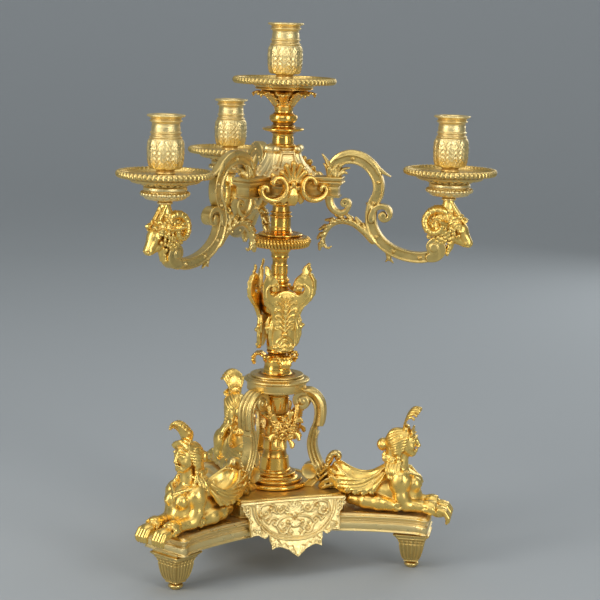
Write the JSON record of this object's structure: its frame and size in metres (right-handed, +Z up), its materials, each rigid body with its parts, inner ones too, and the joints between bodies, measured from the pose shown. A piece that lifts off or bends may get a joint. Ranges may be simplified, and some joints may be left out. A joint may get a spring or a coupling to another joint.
{
  "type": "candelabrum",
  "caption": "Gilt-bronze candelabrum: scrolled arms with ram's heads and a central light, screw-in candle sockets and drip pans, sphinx tripod base.",
  "frame": {"origin": "middle of the bounding box at the level of the foot pads; the column's axis stands in front of it, at x = 0, y = -0.04325 m", "axes": "+Z up along the column, front apron towards -Y, arms at bearings -30, 90 and -150 degrees from +X about the column's axis"},
  "size_m": [0.395, 0.355, 0.5635],
  "materials": {
    "gilt_burnished": "burnished fire gilding, warm yellow gold with orange-brown reflections",
    "gilt_matte": "matte chased gilding, paler gold",
    "gilt_aged": "satin gilding, slightly aged and greenish",
    "steel": "plain iron fasteners"
  },
  "bodies": {
    "root": {"column_foot": "gilt_burnished", "column_baluster": "gilt_burnished", "leaf_collar": "gilt_burnished", "cartouche_core": "gilt_burnished", "stem_neck": "gilt_burnished", "gadroon_flange": "gilt_burnished", "stem_spool": "gilt_burnished", "top_stem": "gilt_burnished", "hood": "gilt_matte", "top_calyx": "gilt_matte", "base_plate": "gilt_aged", "base_centre": "gilt_aged", "drum_platform": "gilt_aged", "arm_platform": "gilt_aged", "tie_rod": "steel", "tie_nut": "steel", "foot_right": "gilt_aged", "corner_bolt_right": "steel", "sphinx_right": "gilt_burnished", "scroll_bracket_right": "gilt_aged", "arm_right": "gilt_aged", "arm_screw_right": "steel", "ram_head_right": "gilt_burnished", "arm_cup_right": "gilt_aged", "foot_rear": "gilt_aged", "corner_bolt_rear": "steel", "sphinx_rear": "gilt_burnished", "scroll_bracket_rear": "gilt_aged", "arm_rear": "gilt_aged", "arm_screw_rear": "steel", "ram_head_rear": "gilt_burnished", "arm_cup_rear": "gilt_aged", "foot_left": "gilt_aged", "corner_bolt_left": "steel", "sphinx_left": "gilt_burnished", "scroll_bracket_left": "gilt_aged", "arm_left": "gilt_aged", "arm_screw_left": "steel", "ram_head_left": "gilt_burnished", "arm_cup_left": "gilt_aged", "apron_front": "gilt_matte", "cartouche_shield_front": "gilt_burnished", "shell_front": "gilt_matte", "swag_front": "gilt_matte", "apron_right": "gilt_matte", "cartouche_shield_right": "gilt_burnished", "shell_right": "gilt_matte", "swag_right": "gilt_matte", "apron_left": "gilt_matte", "cartouche_shield_left": "gilt_burnished", "shell_left": "gilt_matte", "swag_left": "gilt_matte"},
    "pan_left": {"drip_pan_left": "gilt_aged"},
    "socket_left": {"socket_left": "gilt_matte"},
    "pan_right": {"drip_pan_right": "gilt_aged"},
    "socket_right": {"socket_right": "gilt_matte"},
    "pan_rear": {"drip_pan_rear": "gilt_aged"},
    "socket_rear": {"socket_rear": "gilt_matte"},
    "pan_centre": {"drip_pan_centre": "gilt_aged"},
    "socket_centre": {"socket_centre": "gilt_matte"}
  },
  "joints": [
    {"name": "pan_left_rise", "type": "slide", "parent": "root", "child": "pan_left", "axis": [0, 0, 1], "range_m": [0, 0.006]},
    {"name": "socket_left_turn", "type": "hinge", "parent": "pan_left", "child": "socket_left", "pos_m": [-0.14982, -0.12975, 0.419], "axis": [0, 0, 1], "range_deg": [0, 1440]},
    {"name": "pan_right_rise", "type": "slide", "parent": "root", "child": "pan_right", "axis": [0, 0, 1], "range_m": [0, 0.006]},
    {"name": "socket_right_turn", "type": "hinge", "parent": "pan_right", "child": "socket_right", "pos_m": [0.14982, -0.12975, 0.419], "axis": [0, 0, 1], "range_deg": [0, 1440]},
    {"name": "pan_rear_rise", "type": "slide", "parent": "root", "child": "pan_rear", "axis": [0, 0, 1], "range_m": [0, 0.006]},
    {"name": "socket_rear_turn", "type": "hinge", "parent": "pan_rear", "child": "socket_rear", "pos_m": [0, 0.12975, 0.419], "axis": [0, 0, 1], "range_deg": [0, 1440]},
    {"name": "pan_centre_rise", "type": "slide", "parent": "root", "child": "pan_centre", "axis": [0, 0, 1], "range_m": [0, 0.006]},
    {"name": "socket_centre_turn", "type": "hinge", "parent": "pan_centre", "child": "socket_centre", "pos_m": [0, -0.04325, 0.5065], "axis": [0, 0, 1], "range_deg": [0, 1440]}
  ],
  "couplings": [
    {"joint": "pan_left_rise", "follows": "socket_left_turn", "m_per_rad": 0.00023873},
    {"joint": "pan_right_rise", "follows": "socket_right_turn", "m_per_rad": 0.00023873},
    {"joint": "pan_rear_rise", "follows": "socket_rear_turn", "m_per_rad": 0.00023873},
    {"joint": "pan_centre_rise", "follows": "socket_centre_turn", "m_per_rad": 0.00023873}
  ]
}
